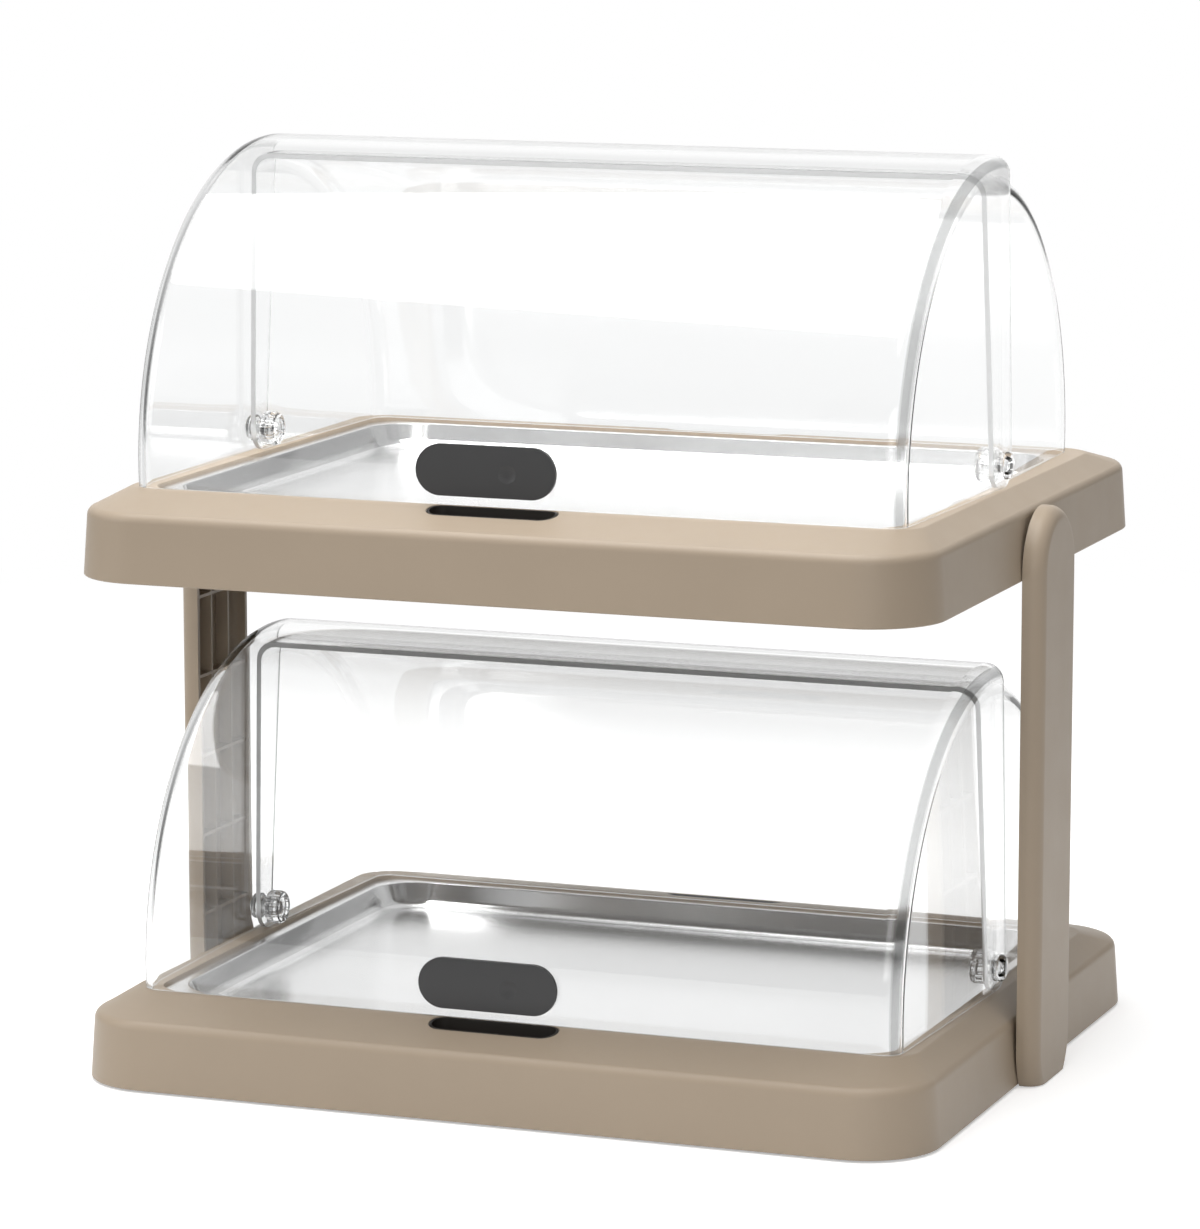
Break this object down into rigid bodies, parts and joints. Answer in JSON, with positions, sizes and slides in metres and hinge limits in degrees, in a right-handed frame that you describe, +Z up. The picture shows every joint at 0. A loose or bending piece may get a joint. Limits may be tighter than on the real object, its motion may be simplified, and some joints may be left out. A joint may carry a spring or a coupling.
{
  "type": "chilled roll-top display",
  "caption": "Free-standing countertop display with cooled steel trays on tiers, each under a clear cover of two shells that roll over each other.",
  "frame": {"origin": "on the table, under the middle of the display, at the level of the feet", "axes": "+X to the right along the width, +Y to the back, +Z up; the thumb plates face -Y"},
  "size_m": [0.462, 0.382, 0.4569],
  "materials": {
    "moulded_plastic": "moulded warm grey-beige plastic with a soft satin face",
    "tray_steel": "pressed stainless steel, satin to mirror",
    "clear_plastic": "clear glossy plastic",
    "plate_plastic": "dark grey satin plastic",
    "pack_plastic": "blue blow-moulded plastic",
    "cap_plastic": "white moulded plastic",
    "zinc_steel": "zinc-plated steel",
    "rubber": "dark rubber"
  },
  "bodies": {
    "frame": {"lower_base": "moulded_plastic", "lower_bottom_panel": "moulded_plastic", "lower_front_finger_cup": "plate_plastic", "lower_rear_finger_cup": "plate_plastic", "lower_tray": "tray_steel", "lower_left_cold_pack": "pack_plastic", "lower_left_pack_cap": "cap_plastic", "lower_right_cold_pack": "pack_plastic", "lower_right_pack_cap": "cap_plastic", "lower_panel_screw_1": "zinc_steel", "lower_panel_screw_2": "zinc_steel", "lower_panel_screw_3": "zinc_steel", "lower_panel_screw_4": "zinc_steel", "lower_left_hinge_pin": "clear_plastic", "lower_left_hinge_knob": "clear_plastic", "lower_right_hinge_pin": "clear_plastic", "lower_right_hinge_knob": "clear_plastic", "upper_base": "moulded_plastic", "upper_bottom_panel": "moulded_plastic", "upper_front_finger_cup": "plate_plastic", "upper_rear_finger_cup": "plate_plastic", "upper_tray": "tray_steel", "upper_left_cold_pack": "pack_plastic", "upper_left_pack_cap": "cap_plastic", "upper_right_cold_pack": "pack_plastic", "upper_right_pack_cap": "cap_plastic", "upper_panel_screw_1": "zinc_steel", "upper_panel_screw_2": "zinc_steel", "upper_panel_screw_3": "zinc_steel", "upper_panel_screw_4": "zinc_steel", "upper_left_hinge_pin": "clear_plastic", "upper_left_hinge_knob": "clear_plastic", "upper_right_hinge_pin": "clear_plastic", "upper_right_hinge_knob": "clear_plastic", "left_column": "moulded_plastic", "left_column_screw_1": "zinc_steel", "left_column_screw_2": "zinc_steel", "left_column_screw_3": "zinc_steel", "left_column_screw_4": "zinc_steel", "right_column": "moulded_plastic", "right_column_screw_1": "zinc_steel", "right_column_screw_2": "zinc_steel", "right_column_screw_3": "zinc_steel", "right_column_screw_4": "zinc_steel", "rubber_foot_1": "rubber", "rubber_foot_2": "rubber", "rubber_foot_3": "rubber", "rubber_foot_4": "rubber"},
    "lower_front_shell": {"lower_front_cover": "clear_plastic", "lower_thumb_plate": "plate_plastic"},
    "lower_rear_shell": {"lower_rear_cover": "clear_plastic"},
    "upper_front_shell": {"upper_front_cover": "clear_plastic", "upper_thumb_plate": "plate_plastic"},
    "upper_rear_shell": {"upper_rear_cover": "clear_plastic"}
  },
  "joints": [
    {"name": "lower_front_roll", "type": "hinge", "parent": "frame", "child": "lower_front_shell", "pos_m": [0, 0, 0.0534], "axis": [-1, 0, 0], "range_deg": [0, 88]},
    {"name": "lower_rear_roll", "type": "hinge", "parent": "frame", "child": "lower_rear_shell", "pos_m": [0, 0, 0.0534], "axis": [-1, 0, 0], "range_deg": [-88, 0]},
    {"name": "upper_front_roll", "type": "hinge", "parent": "frame", "child": "upper_front_shell", "pos_m": [0, 0, 0.3054], "axis": [-1, 0, 0], "range_deg": [0, 88]},
    {"name": "upper_rear_roll", "type": "hinge", "parent": "frame", "child": "upper_rear_shell", "pos_m": [0, 0, 0.3054], "axis": [-1, 0, 0], "range_deg": [-88, 0]}
  ]
}
